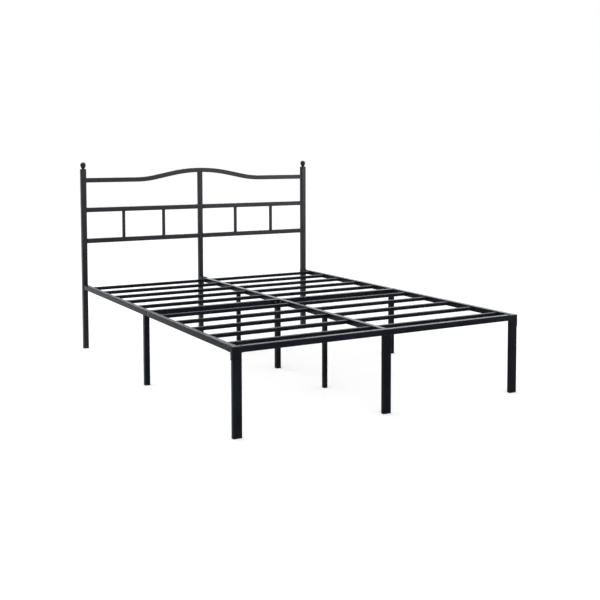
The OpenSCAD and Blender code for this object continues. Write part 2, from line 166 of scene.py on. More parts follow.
class Ray(Enum):
    """The kinds of ray that the Light Path node tells apart."""

    CAMERA = "Is Camera Ray"
    GLOSSY = "Is Glossy Ray"
    TRANSMISSION = "Is Transmission Ray"


class MixSocket(IntEnum):
    """Places of the Mix node's sockets when it mixes colours."""

    FACTOR = 0
    FIRST = 6
    SECOND = 7
    RESULT = 2


@dataclass(frozen=True)
class Noise:
    """Noise over a piece's own coordinates.

    Attributes:
        scale: Cells per metre.
        detail: Octaves of finer noise.
        stretch: Scale along each axis, for noise that is drawn out.
    """

    scale: float
    detail: float = 3.0
    stretch: Triple = EVEN


class Graph:
    """A node tree under construction."""

    def __init__(self, tree: bpy.types.NodeTree) -> None:
        """Empties the tree and starts afresh."""
        self.tree = tree
        tree.nodes.clear()

    def node(
        self,
        kind: str,
        settings: dict[str, object] | None = None,
        inputs: dict[Union[str, int], Value] | None = None,
        output: Union[str, int] = 0,
    ) -> Socket:
        """Adds any node.

        Args:
            kind: The node's type name.
            settings: The node's own properties, set before its inputs.
            inputs: A value or a link for each input, by name or index.
            output: The output to return.

        Returns:
            The chosen output, ready for arithmetic.
        """
        made = self.tree.nodes.new(kind)
        for name, value in (settings or {}).items():
            setattr(made, name, value)
        for key, value in (inputs or {}).items():
            if isinstance(value, Socket):
                self.tree.links.new(value.socket, made.inputs[key])
            else:
                made.inputs[key].default_value = value
        return Socket(self, made.outputs[output] if len(made.outputs) else None)

    def noise(self, noise: Noise) -> Socket:
        """Adds a noise.

        Args:
            noise: Its scale, detail and stretch.

        Returns:
            The noise's value, about 0.5 on average.
        """
        place = self.node("ShaderNodeTexCoord", output="Object")
        if noise.stretch != EVEN:
            mapping = {"Vector": place, "Scale": noise.stretch}
            place = self.node("ShaderNodeMapping", inputs=mapping)
        inputs = {"Vector": place, "Scale": noise.scale, "Detail": noise.detail}
        return self.node("ShaderNodeTexNoise", inputs=inputs)

    def height_of(self, vector: Socket) -> Socket:
        """The Z component of a vector."""
        return self.node("ShaderNodeSeparateXYZ", inputs={0: vector}, output="Z")

    def facing_up(self) -> Socket:
        """How far the surface faces up: 1 on a level top, 0 on a wall, -1 underneath."""
        return self.height_of(self.node("ShaderNodeNewGeometry", output="Normal"))

    def seen_by(self, ray: Ray) -> Socket:
        """1 for rays of one kind, 0 for all others."""
        return self.node("ShaderNodeLightPath", output=ray.value)

    def mix(self, factor: Value, first: Value, second: Value) -> Socket:
        """Colour between two colours.

        Args:
            factor: 0 for the first colour, 1 for the second.
            first: A colour or a link.
            second: A colour or a link.

        Returns:
            The mixed colour.
        """
        colours = [(*c, 1.0) if isinstance(c, tuple) else c for c in (first, second)]
        inputs = {
            MixSocket.FACTOR: factor,
            MixSocket.FIRST: colours[0],
            MixSocket.SECOND: colours[1],
        }
        return self.node("ShaderNodeMix", {"data_type": "RGBA"}, inputs, output=MixSocket.RESULT)


# ---------------------------------------------------------------------------------------------
# Finishes
# ---------------------------------------------------------------------------------------------


@dataclass(frozen=True)
class Finish:
    """A surface finish that becomes one material.

    Attributes:
        name: The material's name.
        colour: Its main colour, linear.
        roughness: Its average roughness.
        specular: The specular level, the same all over.
    """

    name: str
    colour: Colour
    roughness: float
    specular: float

    def material(self) -> bpy.types.Material:
        """Builds the material on its first use.

        Returns:
            The new material, or the one built before.
        """
        known = bpy.data.materials.get(self.name)
        if known:
            return known
        made = bpy.data.materials.new(self.name)
        made.use_nodes = True
        graph = Graph(made.node_tree)
        graph.node("ShaderNodeOutputMaterial", inputs={"Surface": self.shade(graph)})
        return made

    def shade(self, graph: Graph) -> Socket:
        """Adds the finish's nodes to a tree and returns its shader."""
        raise NotImplementedError


@dataclass(frozen=True)
class Relief(Finish):
    """A finish with a fine relief of its own.

    Attributes:
        relief_depth: Height of the relief, in metres.
        relief_strength: How strongly the relief tilts the surface.
    """

    relief_depth: float
    relief_strength: float

    def surface(
        self,
        graph: Graph,
        colour: Socket,
        roughness: Socket,
        relief: Socket,
        metallic: Term = 0.0,
    ) -> Socket:
        """Adds the shader that ends the finish.

        Args:
            graph: The material's tree.
            colour: The surface's colour.
            roughness: Its roughness, which is held between 0 and 1.
            relief: Height of the relief, as a share of its depth.
            metallic: How metallic the surface is.

        Returns:
            The shader.
        """
        bump = graph.node(
            "ShaderNodeBump",
            inputs={
                "Height": relief,
                "Strength": self.relief_strength,
                "Distance": self.relief_depth,
            },
        )
        return graph.node(
            "ShaderNodeBsdfPrincipled",
            inputs={
                "Base Color": colour,
                "Metallic": metallic,
                "Roughness": roughness.clamped(),
                "Specular IOR Level": self.specular,
                "Normal": bump,
            },
        )


@dataclass(frozen=True)
class PowderCoat(Relief):
    """Baked powder paint: orange peel, slight mottling, and tops paled by dust and painted sheen.

    Attributes:
        relief_depth: Height of the orange peel, in metres.
        relief_strength: How strongly the orange peel tilts the surface.
        cloud: Broad clouds in the paint.
        patch: Small patches in the paint and the dust.
        peel: The orange peel, with bumps 1.8 mm wide.
        grit: Finer grit on the orange peel.
        grit_share: Height of the grit against that of the peel.
        mottle: Share by which the colour wanders.
        mottle_span: Values of the clouds between which the colour turns.
        cloud_roughness: How far the clouds change the roughness.
        patch_roughness: How far the patches change the roughness.
        dust_and_sheen: How much level tops are lightened, by settled dust and by painted sheen.
        dust_and_sheen_colour: Colour of the dust, which is also the painted sheen's colour.
        dust_and_sheen_slopes: From which slope dust and painted sheen begin, and where they are
            full.
        dust_and_sheen_patches: Values of the patches between which dust and painted sheen lie.
        dust_roughness: How much rougher the dust is.
    """

    relief_depth: float = 0.07 * MM
    relief_strength: float = 0.6
    cloud: Noise = Noise(9.0, 4.0)
    patch: Noise = Noise(60.0, 3.0)
    peel: Noise = Noise(1 / (1.8 * MM), 2.0)
    grit: Noise = Noise(4 / (1.8 * MM), 1.0)
    grit_share: float = 0.25
    mottle: float = 0.3
    mottle_span: Span = (0.3, 0.7)
    cloud_roughness: float = 0.12
    patch_roughness: float = 0.08
    dust_and_sheen: float = 0.05
    dust_and_sheen_colour: Colour = (0.30, 0.30, 0.31)
    dust_and_sheen_slopes: Span = (0.75, 1.0)
    dust_and_sheen_patches: Span = (0.25, 0.85)
    dust_roughness: float = 1.5

    def shade(self, graph: Graph) -> Socket:
        """Adds the paint's nodes.

        Args:
            graph: The material's tree.

        Returns:
            The paint's shader.
        """
        cloud = graph.noise(self.cloud)
        patch = graph.noise(self.patch)
        dark = tuple(c * (1 - self.mottle) for c in self.colour)
        pale = tuple(c * (1 + self.mottle) for c in self.colour)
        paint = graph.mix(cloud.ramp(*self.mottle_span), dark, pale)
        # Level tops are paled by settled dust and also by a painted sheen for the light they
        # reflect.
        level = graph.facing_up().ramp(*self.dust_and_sheen_slopes)
        dust_and_sheen_share = level * patch.ramp(*self.dust_and_sheen_patches) * self.dust_and_sheen
        colour = graph.mix(dust_and_sheen_share, paint, self.dust_and_sheen_colour)
        roughness = (
            self.roughness
            + (cloud - NOISE_MEAN) * self.cloud_roughness
            + (patch - NOISE_MEAN) * self.patch_roughness
            + dust_and_sheen_share * self.dust_roughness
        )
        relief = graph.noise(self.peel) + graph.noise(self.grit) * self.grit_share
        return self.surface(graph, colour, roughness, relief)


@dataclass(frozen=True)
class MouldedPlastic(Relief):
    """Injection-moulded plastic with a spark-eroded grain.

    Attributes:
        relief_depth: Depth of the grain, in metres.
        relief_strength: How strongly the grain tilts the surface.
        cloud: Broad clouds, where the plastic is rubbed.
        grain: The grain, 0.7 mm wide.
        rubbed: How much lighter rubbed plastic is.
        rubbed_span: Values of the clouds between which the plastic is rubbed.
        cloud_roughness: How far the clouds change the roughness.
    """

    relief_depth: float = 0.04 * MM
    relief_strength: float = 0.7
    cloud: Noise = Noise(35.0)
    grain: Noise = Noise(1 / (0.7 * MM))
    rubbed: float = 1.6
    rubbed_span: Span = (0.45, 0.8)
    cloud_roughness: float = 0.15

    def shade(self, graph: Graph) -> Socket:
        """Adds the plastic's nodes.

        Args:
            graph: The material's tree.

        Returns:
            The plastic's shader.
        """
        cloud = graph.noise(self.cloud)
        pale = tuple(c * self.rubbed for c in self.colour)
        colour = graph.mix(cloud.ramp(*self.rubbed_span), self.colour, pale)
        roughness = self.roughness + (cloud - NOISE_MEAN) * self.cloud_roughness
        return self.surface(graph, colour, roughness, graph.noise(self.grain))


@dataclass(frozen=True)
class BlackZinc(Relief):
    """Black-passivated steel: thin, a little patchy, with brighter metal where it is handled.

    Attributes:
        relief_depth: Depth of the turning marks, in metres.
        relief_strength: How strongly the marks tilt the surface.
        patch: Patches in the plating.
        lathe: Turning marks, drawn out round the axis.
        metallic: How metallic the unworn plating is.
        metal_colour: Colour of the steel that shows through.
        wear: How much more metallic the plating is where it is worn.
        wear_span: Values of the patches between which the plating is worn.
        patch_roughness: How far the patches change the roughness.
    """

    relief_depth: float = 0.03 * MM
    relief_strength: float = 0.5
    patch: Noise = Noise(220.0, 4.0)
    lathe: Noise = Noise(900.0, 2.0, (1.0, 1.0, 3.0))
    metallic: float = 0.4
    metal_colour: Colour = (0.22, 0.22, 0.23)
    wear: float = 0.45
    wear_span: Span = (0.5, 0.75)
    patch_roughness: float = 0.2

    def shade(self, graph: Graph) -> Socket:
        """Adds the plating's nodes.

        Args:
            graph: The material's tree.

        Returns:
            The plating's shader.
        """
        patch = graph.noise(self.patch)
        worn = patch.ramp(*self.wear_span) * self.wear
        colour = graph.mix(worn, self.colour, self.metal_colour)
        roughness = self.roughness + (patch - NOISE_MEAN) * self.patch_roughness
        marks = graph.noise(self.lathe)
        return self.surface(graph, colour, roughness, marks, self.metallic + worn)


@dataclass(frozen=True)
class FloorPaper(Finish):
    """Plain studio paper.

    Attributes:
        lift: Light that the paper adds of its own, so that it shows white.
    """

    lift: float

    def shade(self, graph: Graph) -> Socket:
        """Adds the paper's nodes.

        Args:
            graph: The material's tree.

        Returns:
            The paper's shader.
        """
        seen = sum(graph.seen_by(ray) for ray in Ray)
        paper = graph.node(
            "ShaderNodeBsdfPrincipled",
            inputs={
                "Base Color": (*self.colour, 1),
                "Roughness": self.roughness,
                "Specular IOR Level": self.specular,
            },
        )
        glow = {"Color": (*WHITE, 1), "Strength": seen.clamped() * self.lift}
        lifted = graph.node("ShaderNodeEmission", inputs=glow)
        return graph.node("ShaderNodeAddShader", inputs={0: paper, 1: lifted})


class Coat(Enum):
    """The finishes on the bed frame."""

    FRAME = PowderCoat("powder_coat_frame", (0.0060, 0.0072, 0.0108), 0.24, 0.035)
    # The headboard's paint is a paler copy of the frame's: painted light for the brighter light it
    # catches.
    HEADBOARD = PowderCoat("powder_coat_headboard_lit", (0.0078, 0.0086, 0.0122), 0.30, 0.12)
    SLAT = PowderCoat("powder_coat_slat", (0.0065, 0.0078, 0.0115), 0.36, 0.035, dust_and_sheen=0.02)
    WELD = PowderCoat("powder_coat_weld", (0.0072, 0.0083, 0.0118), 0.34, 0.12, dust_and_sheen=0.0)
    PLASTIC = MouldedPlastic("moulded_plastic", (0.006, 0.006, 0.007), 0.40, 0.16)
    HARDWARE = BlackZinc("black_zinc", (0.012, 0.012, 0.013), 0.4, 0.5)


# ---------------------------------------------------------------------------------------------
# Meshes
# ---------------------------------------------------------------------------------------------


def add_object(name: str, data: bpy.types.ID) -> bpy.types.Object:
    """Adds an object to the scene.

    Args:
        name: The object's name.
        data: Its mesh, camera or light.

    Returns:
        The new object.
    """
    made = bpy.data.objects.new(name, data)
    bpy.context.scene.collection.objects.link(made)
    return made


def close_mesh(name: str, bm: bmesh.types.BMesh, finish: Finish) -> bpy.types.Mesh:
    """Turns a finished bmesh into mesh data.

    Args:
        name: The mesh's name.
        bm: The bmesh, which is freed.
        finish: Its finish.

    Returns:
        The new mesh.
    """
    data = bpy.data.meshes.new(name)
    bm.to_mesh(data)
    bm.free()
    data.materials.append(finish.material())
    return data


def mesh_piece(name: str, bm: bmesh.types.BMesh, coat: Coat) -> bpy.types.Object:
    """Turns a finished bmesh into a piece that rides on the frame.

    Args:
        name: The piece's name.
        bm: Its mesh, which is freed.
        coat: Its finish.

    Returns:
        The new object.
    """
    bmesh.ops.recalc_face_normals(bm, faces=bm.faces)
    data = close_mesh(name, bm, coat.value)
    for face in data.polygons:
        face.use_smooth = True
    piece = add_object(name, data)
    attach(piece, ROOT)
    return piece


def skin_rings(bm: bmesh.types.BMesh, rings: Sequence[Ring], closed: bool) -> None:
    """Joins rings of equal length into a tube.

    Args:
        bm: The mesh that takes the faces.
        rings: The rings, in order.
        closed: True joins the last ring to the first; False caps both ends.
    """
    rows = [[bm.verts.new(p) for p in ring] for ring in rings]
    pairs = list(zip(rows, rows[1:]))
    if closed:
        pairs.append((rows[-1], rows[0]))
    for low, high in pairs:
        for i in range(len(low)):
            j = (i + 1) % len(low)
            bm.faces.new((low[i], low[j], high[j], high[i]))
    if not closed:
        bm.faces.new(list(reversed(rows[0])))
        bm.faces.new(rows[-1])


def rounded_square(
    width: float, depth: float, radius: float, arc_steps: int, straight_steps: int
) -> list[Point]:
    """Points round a rectangle with rounded corners, evenly along each straight and arc.

    Args:
        width: Size along the first axis.
        depth: Size along the second axis.
        radius: Corner radius.
        arc_steps: Points on each corner.
        straight_steps: Points on each straight.

    Returns:
        The points, anticlockwise.
    """

    def on_arc(centre: Point, quarters: float) -> Point:
        """The point on a corner's arc at so many quarter turns."""
        angle = quarters * math.pi / 2
        return centre[0] + radius * math.cos(angle), centre[1] + radius * math.sin(angle)

    points: list[Point] = []
    half_w, half_d = width / 2 - radius, depth / 2 - radius
    centres = [(half_w, half_d), (-half_w, half_d), (-half_w, -half_d), (half_w, -half_d)]
    for corner, centre in enumerate(centres):
        points += [on_arc(centre, corner + i / arc_steps) for i in range(arc_steps)]
        x0, y0 = on_arc(centre, corner + 1)
        x1, y1 = on_arc(centres[(corner + 1) % len(centres)], corner + 1)
        for i in range(straight_steps):
            share = i / straight_steps
            points.append((x0 + (x1 - x0) * share, y0 + (y1 - y0) * share))
    return points


class Axis(Enum):
    """The axis that a tube's end face looks along."""

    X = 0
    Y = 1
    Z = 2

    @property
    def across(self) -> tuple[int, int]:
        """The two axes that follow this one and span the end face."""
        return (self.value + 1) % 3, (self.value + 2) % 3

    def spread(self, along: float, first: float, second: float) -> Vector:
        """Point from its place on this axis and on the next two.

        Args:
            along: Place on this axis.
            first: Place on the following axis.
            second: Place on the one after it.

        Returns:
            The point.
        """
        point = Vector((0.0, 0.0, 0.0))
        for axis, place in zip((self.value, *self.across), (along, first, second)):
            point[axis] = place
        return point


@dataclass
class WeldRun:
    """Weld beads that run round the ends of tubes, laid down as overlapping ripples.

    Attributes:
        name: Name of the piece that holds the beads.
        bead_r: Radius of a bead.
        ripple: Share by which a ripple swells the bead.
        ripple_pitch: Length of one ripple.
        unevenness: Share by which chance swells or thins the bead.
        arc_steps: Rings of the bead round each corner of a tube.
        straight_steps: Rings of the bead along each side of a tube.
        ring_steps: Points on each ring.
        flush_depth: How far below the frame's outermost faces a bead there is ground.
        rng: The source of the beads' small unevenness.
        bm: The mesh that takes the beads.
        count: Number of beads laid.
        low: Lowest corner of the frame's box, which no bead leaves.
        high: Highest corner of that box.
    """

    name: str
    bead_r: float = 1.5 * MM
    ripple: float = 0.15
    ripple_pitch: float = 3.4 * MM
    unevenness: float = 0.08
    arc_steps: int = 4
    straight_steps: int = 24
    ring_steps: int = 8
    flush_depth: float = 0.05 * MM
    rng: random.Random = field(default_factory=lambda: random.Random(WELD_SEED))
    bm: bmesh.types.BMesh = field(init=False, default_factory=bmesh.new)
    count: int = field(init=False, default=0)
    low: Vector = field(init=False)
    high: Vector = field(init=False)

    def __post_init__(self) -> None:
        """Notes the frame's box."""
        self.low, self.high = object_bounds()

    def round_end(self, node: str, axis: Axis, high: bool, corner_r: float) -> None:
        """Lays a bead round one end of a tube.

        Args:
            node: The CAD node of the tube.
            axis: The tube's axis.
            high: True for the end at the larger coordinate.
            corner_r: The tube's edge radius.
        """
        low_corner, high_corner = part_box(node)
        end = (high_corner if high else low_corner)[axis.value]
        self.round_box(low_corner, high_corner, axis, end, corner_r)

    def round_box(self, low: Vector, high: Vector, axis: Axis, end: float, corner_r: float) -> None:
        """Lays a bead round a tube's outline at one place on its axis.

        Args:
            low: Lowest corner of the tube.
            high: Highest corner of the tube.
            axis: The tube's axis.
            end: The bead's place on that axis.
            corner_r: The tube's edge radius.
        """
        first, second = axis.across
        size = (high[first] - low[first], high[second] - low[second])
        middle = [(a + b) / 2 for a, b in zip(low, high)]
        outline = rounded_square(*size, corner_r, self.arc_steps, self.straight_steps)
        path = [axis.spread(end, middle[first] + x, middle[second] + y) for x, y in outline]
        outwards = [axis.spread(0.0, x, y).normalized() for x, y in outline]
        along = axis.spread(-1.0 if end > middle[axis.value] else 1.0, 0.0, 0.0)
        rings: list[Ring] = []
        travelled = 0.0
        phase = self.rng.uniform(0, math.tau)
        for i, (point, out) in enumerate(zip(path, outwards)):
            travelled += (point - path[i - 1]).length if i else 0.0
            swell = 1 + self.ripple * math.sin(phase + math.tau * travelled / self.ripple_pitch)
            chance = self.rng.uniform(1 - self.unevenness, 1 + self.unevenness)
            rings.append(self.bead_ring(point, out, along, self.bead_r * swell * chance))
        skin_rings(self.bm, rings, closed=True)
        self.count += 1

    def bead_ring(self, middle: Vector, out: Vector, along: Vector, radius: float) -> Ring:
        """One ring of a bead.

        Args:
            middle: The ring's middle.
            out: Direction outwards from the tube.
            along: Direction along the tube.
            radius: The ring's radius.

        Returns:
            The ring's points.
        """
        ring: Ring = []
        for k in range(self.ring_steps):
            angle = math.tau * k / self.ring_steps
            across, beside = radius * math.cos(angle), radius * math.sin(angle)
            ring.append(self.ground(middle + out * across + along * beside))
        return ring

    def ground(self, point: Vector) -> Vector:
        """Brings a point that stands proud of the frame's outermost faces back to them.

        Args:
            point: A point on a bead.

        Returns:
            The point, ground flush where it stood proud.
        """
        depth = self.flush_depth
        bounds = zip(point, self.low, self.high)
        return Vector(min(max(v, low + depth), high - depth) for v, low, high in bounds)

    def finish(self) -> bpy.types.Object:
        """Makes the piece and returns it."""
        LOG.info("%s: %d beads", self.name, self.count)
        return mesh_piece(self.name, self.bm, Coat.WELD)


# ---------------------------------------------------------------------------------------------
# Sub-assemblies
# ---------------------------------------------------------------------------------------------


class SubAssembly(Protocol):
    """Pieces that are built together."""

    def build(self) -> list[bpy.types.Object]:
        """Builds and dresses the pieces and returns them."""


def dress(nodes: Iterable[str], coat: Coat) -> list[bpy.types.Object]:
    """Gives CAD nodes a finish.

    Args:
        nodes: Names of the nodes.
        coat: The finish.

    Returns:
        The nodes' objects.
    """
    pieces = [bpy.data.objects[name] for name in nodes]
    for piece in pieces:
        piece.data.materials.clear()
        piece.data.materials.append(coat.value.material())
    return pieces


@dataclass
class Headboard:
    """The welded headboard: posts, bent top rail, flat rails and spindles.

    Attributes:
        rail_r: Edge radius of the rails' tube.
        spindle_r: Edge radius of the spindles' tube.
        posts: The upright tubes.
        top_rail: The bent tube.
        flat_rails: The straight level tubes.
        spindles: The thin uprights, two in each node.
    """

    rail_r: float = 2.5 * MM
    spindle_r: float = 2.0 * MM
    posts: tuple[str, ...] = tuple(
        f"headboard_{post}" for post in ("post_left", "post_right", "centre_post")
    )
    top_rail: str = "headboard_top_rail"
    flat_rails: tuple[str, ...] = tuple(
        f"headboard_{level}_rail_{side}" for level in ("middle", "lower") for side in SIDES
    )
    spindles: tuple[str, ...] = tuple(f"headboard_spindles_{side}" for side in SIDES)

    def build(self) -> list[bpy.types.Object]:
        """Dresses the tubes, lays the welds and returns them all."""
        tubes = (*self.posts, self.top_rail, *self.flat_rails, *self.spindles)
        return [*dress(tubes, Coat.HEADBOARD), self.weld()]

    def weld(self) -> bpy.types.Object:
        """Lays the beads at the rails' and spindles' ends.

        Returns:
            The piece that holds the beads.
        """
        run = WeldRun("headboard_welds")
        for node in self.flat_rails:
            for high in (False, True):
                run.round_end(node, Axis.X, high, self.rail_r)
        self.weld_top_rail(run)
        for node in self.spindles:
            for low, high in self.single_spindles(node):
                for end in (low.z, high.z):
                    run.round_box(low, high, Axis.Z, end, self.spindle_r)
        return run.finish()

    def weld_top_rail(self, run: WeldRun) -> None:
        """Lays the beads at both ends of the bent rail, which have a flat rail's section.

        Args:
            run: The welds that take the beads.
        """
        low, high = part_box(self.top_rail)
        flat_low, flat_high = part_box(self.flat_rails[0])
        end_high = Vector((high.x, high.y, low.z + (flat_high.z - flat_low.z)))
        for end in (low.x, high.x):
            run.round_box(low, end_high, Axis.X, end, self.rail_r)

    def single_spindles(self, node: str) -> list[tuple[Vector, Vector]]:
        """Boxes of the separate spindles in one node.

        Args:
            node: The CAD node that holds them.

        Returns:
            Lowest and highest corner of each spindle.
        """
        low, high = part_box(node)
        width = high.y - low.y
        return [
            (low.copy(), Vector((low.x + width, high.y, high.z))),
            (Vector((high.x - width, low.y, low.z)), high.copy()),
        ]


@dataclass
class Finial:
    """A moulded cap: a square shoulder that turns round into a neck, and an onion-shaped ball.

    Attributes:
        side: Which post it closes.
        edge_r: Corner radius of the square shoulder.
        base_edge: Size of the small chamfer round the base.
        skirt_h: Height of the shoulder's upright sides.
        shoulder_h: Height of the shoulder's top.
        shoulder_steps: Rings of the shoulder's curve.
        round_step: The ring of the shoulder that is the first round one.
        neck_r: Radius of the neck between the shoulder and the ball.
        draw_down: How far the ball's lower half is drawn out towards the neck.
        ball_steps: Rings of the ball.
        ball_top: Latitude of the ball's last ring, in degrees.
        side_steps: Points on each straight and corner of a ring.
    """

    side: str
    edge_r: float = 2.5 * MM
    base_edge: float = 0.3 * MM
    skirt_h: float = 3.0 * MM
    shoulder_h: float = 7.5 * MM
    shoulder_steps: int = 8
    round_step: int = 6
    neck_r: float = 6.5 * MM
    draw_down: float = 1.48
    ball_steps: int = 28
    ball_top: float = 88.5
    side_steps: int = 8

    def build(self) -> list[bpy.types.Object]:
        """Builds the cap in the CAD cap's place.

        Returns:
            The cap alone, in a list.
        """
        node = f"finial_{self.side}"
        post_low, post_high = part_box(f"headboard_post_{self.side}")
        low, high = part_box(node)
        centre = (post_low + post_high) / 2
        size = post_high.x - post_low.x
        bm = bmesh.new()
        profile = self.profile(size, high.z - post_high.z, (high.x - low.x) / 2)
        rings = [
            self.ring(centre, size, radius, post_high.z + height, square)
            for radius, height, square in profile
        ]
        skin_rings(bm, rings, closed=False)
        piece = mesh_piece(f"finial_cap_{self.side}", bm, Coat.PLASTIC)
        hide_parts(node)
        return [piece]

    def profile(self, size: float, height: float, ball_r: float) -> list[Triple]:
        """Rings of the cap from its base up.

        Args:
            size: Width of the post.
            height: Height of the cap above the post.
            ball_r: Radius of the ball.

        Returns:
            For each ring its radius, its height and its squareness, from 1, square, to 0, round.
        """
        half = size / 2
        rings = [
            (half - self.base_edge, 0.0, 1.0),
            (half, self.base_edge, 1.0),
            (half, self.skirt_h, 1.0),
        ]
        for i in range(1, self.shoulder_steps + 1):
            turn = i / self.shoulder_steps * math.pi / 2
            radius = self.neck_r + (half - self.neck_r) * math.cos(turn)
            lift = self.skirt_h + (self.shoulder_h - self.skirt_h) * math.sin(turn)
            rings.append((radius, lift, max(0.0, 1 - i / self.round_step)))
        start = -math.acos(self.neck_r / ball_r)
        sweep = math.radians(self.ball_top) - start
        for i in range(1, self.ball_steps + 1):
            angle = start + sweep * i / self.ball_steps
            drawn = self.draw_down if angle < 0 else 1.0
            lift = height - ball_r + ball_r * math.sin(angle) * drawn
            rings.append((ball_r * math.cos(angle), lift, 0.0))
        return rings

    def ring(self, centre: Vector, size: float, radius: float, z: float, square: float) -> Ring:
        """One ring of the cap.

        Args:
            centre: A point on the cap's axis.
            size: Width of the post.
            radius: Half the ring's width.
            z: The ring's height.
            square: 1 for the post's rounded square, 0 for a circle.

        Returns:
            The ring's points.
        """
        points: Ring = []
        scale = radius / (size / 2)
        for x, y in rounded_square(size, size, self.edge_r, self.side_steps, self.side_steps):
            angle = math.atan2(y, x)
            flat = Vector((x * scale, y * scale, 0))
            turned = Vector((radius * math.cos(angle), radius * math.sin(angle), 0))
            place = turned.lerp(flat, square)
            points.append(Vector((centre.x + place.x, centre.y + place.y, z)))
        return points


@dataclass
class Deck:
    """The deck: side, centre, foot and cross tubes, the slats and the legs under them.

    Attributes:
        tube_r: Edge radius of the frame tubes.
        rows: Number of slat rows.
        rails: The level tubes of the frame.
        welded_legs: Legs with a bead round their tops.
        bolted_legs: The legs at the foot's corners.
        brackets: Plates, straps and brackets.
    """

    tube_r: float = 2.5 * MM
    rows: int = 10
    rails: tuple[str, ...] = (
        *(f"side_rail_{side}_{half}" for side in SIDES for half in ("head", "foot")),
        "centre_rail_head",
        "centre_rail_foot",
        "middle_beam",
        "foot_rail",
    )
    welded_legs: tuple[str, ...] = (
        *(f"middle_leg_{place}" for place in ("left", "centre", "right")),
        *(f"support_leg_{half}" for half in ("foot", "head")),
        "foot_leg_centre",
    )
    bolted_legs: tuple[str, ...] = tuple(f"foot_leg_{side}" for side in SIDES)
    brackets: tuple[str, ...] = (
        "corner_plate_left",
        "corner_plate_right",
        "angle_brackets",
        "head_joint_straps",
        "saddle_bracket",
    )

    def build(self) -> list[bpy.types.Object]:
        """Dresses the tubes, the legs, the brackets and the slats, and lays the welds.

        Returns:
            All these pieces.
        """
        frame = (*self.rails, *self.welded_legs, *self.bolted_legs, *self.brackets)
        slats = [f"slat_{side}_{i + 1}" for side in SIDES for i in range(self.rows)]
        return [*dress(frame, Coat.FRAME), *dress(slats, Coat.SLAT), self.weld()]

    def weld(self) -> bpy.types.Object:
        """Lays the beads at the tops of the legs under the rails and at the foot rail's ends.

        Returns:
            The piece that holds the beads.
        """
        run = WeldRun("deck_welds")
        for node in self.welded_legs:
            run.round_end(node, Axis.Z, True, self.tube_r)
        for high in (False, True):
            run.round_end("foot_rail", Axis.X, high, self.tube_r)
        return run.finish()


@dataclass
class Hardware:
    """Bolts, screws and the splice tubes, and the plastic caps and plugs.

    Attributes:
        steel: The plated steel parts.
        plastic: The moulded parts.
    """

    steel: tuple[str, ...] = (
        "frame_bolts",
        "slat_screws",
        *(f"rail_splice_{side}" for side in SIDES),
    )
    plastic: tuple[str, ...] = ("foot_glides", "leg_caps", "slat_end_plugs")

    def build(self) -> list[bpy.types.Object]:
        """Dresses the hardware and the plastic parts and returns them."""
        return [*dress(self.steel, Coat.HARDWARE), *dress(self.plastic, Coat.PLASTIC)]


# ---------------------------------------------------------------------------------------------
# Studio
# ---------------------------------------------------------------------------------------------


@dataclass(frozen=True)
class Lamp:
    """A round soft lamp that is aimed at the bed.

    Attributes:
        name: The lamp's name.
        place: Where it stands.
        size: Its diameter.
        power: Its power, in watts.
        aim: The point that it faces.
    """

    name: str
    place: Triple
    size: float
    power: float
    aim: Triple = (0.0, 0.0, 0.3)

    def build(self) -> None:
        """Adds the lamp."""
        data = bpy.data.lights.new(self.name, "AREA")
        data.shape = "DISK"
        data.size = self.size
        data.energy = self.power
        lamp = add_object(self.name, data)
        lamp.location = self.place
        facing = Vector(self.aim) - Vector(self.place)
        lamp.rotation_euler = facing.to_track_quat("-Z", "Y").to_euler()


